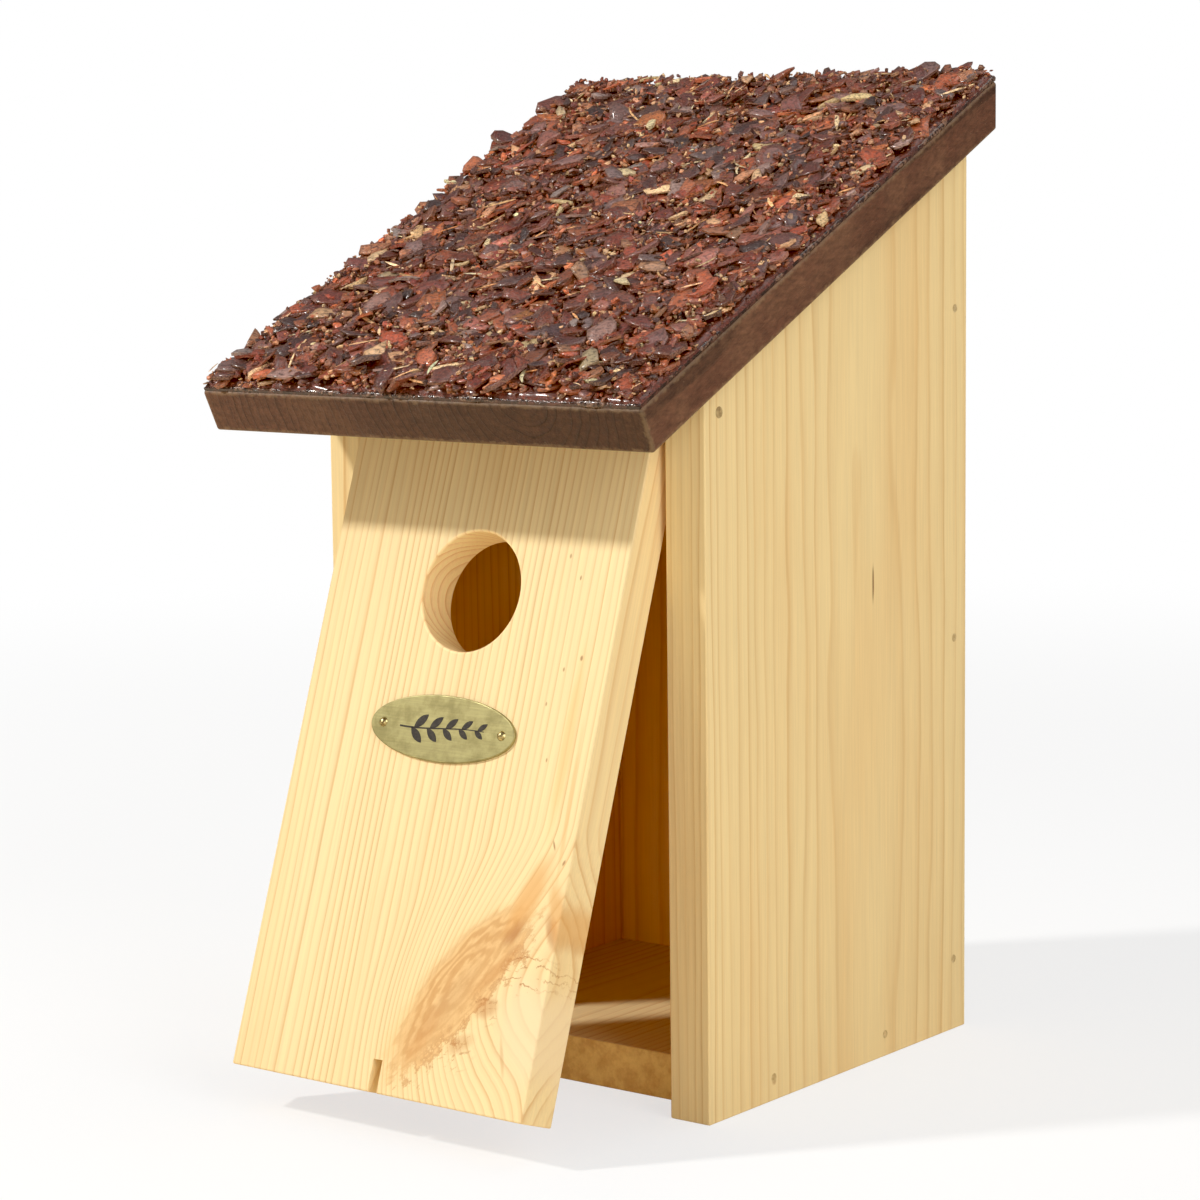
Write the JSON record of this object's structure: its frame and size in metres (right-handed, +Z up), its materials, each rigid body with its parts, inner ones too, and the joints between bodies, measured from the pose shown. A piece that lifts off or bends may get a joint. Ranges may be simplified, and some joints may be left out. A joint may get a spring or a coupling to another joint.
{
  "type": "birdhouse",
  "caption": "Wooden nest box with a sloping bark-covered roof, a round entrance and a front that swings out on side nails, held shut by a turning wire hook.",
  "frame": {"origin": "centre of the housing's footprint, on the plane that it stands on", "axes": "+Z up, -Y out of the front with the entrance, +Y out of the back, +X to the right seen from the front"},
  "size_m": [0.145, 0.1872, 0.2724],
  "materials": {
    "pine": "planed, bare",
    "stained_pine": "planed, dark brown stain",
    "bark": "rough chips and splinters, glued",
    "glue": "glossy dark adhesive",
    "steel": "dull bright wire",
    "brass": "satin, faint brushing",
    "zinc_wire": "zinc plated",
    "zinc_plate": "zinc plated"
  },
  "bodies": {
    "housing": {"left_side_panel": "pine", "right_side_panel": "pine", "back_panel": "pine", "floor_board": "pine", "roof_board": "stained_pine", "roof_glue_bed": "glue", "bark_covering": "bark", "pivot_nail_left": "steel", "pivot_nail_right": "steel", "floor_nails": "steel", "back_panel_nails": "steel", "roof_nails": "steel", "hanging_plate": "zinc_plate", "hanging_screws": "zinc_plate"},
    "front": {"front_door": "pine", "oval_plate": "brass", "plate_pins": "brass"},
    "latch": {"latch_hook": "zinc_wire"}
  },
  "joints": [
    {"name": "door_swing", "type": "hinge", "parent": "housing", "child": "front", "pos_m": [0, -0.05625, 0.183], "axis": [-1, 0, 0], "range_deg": [-19, 51]},
    {"name": "latch_turn", "type": "hinge", "parent": "housing", "child": "latch", "pos_m": [0, -0.049, 0.00625], "axis": [0, 1, 0], "range_deg": [-90, 90]}
  ]
}
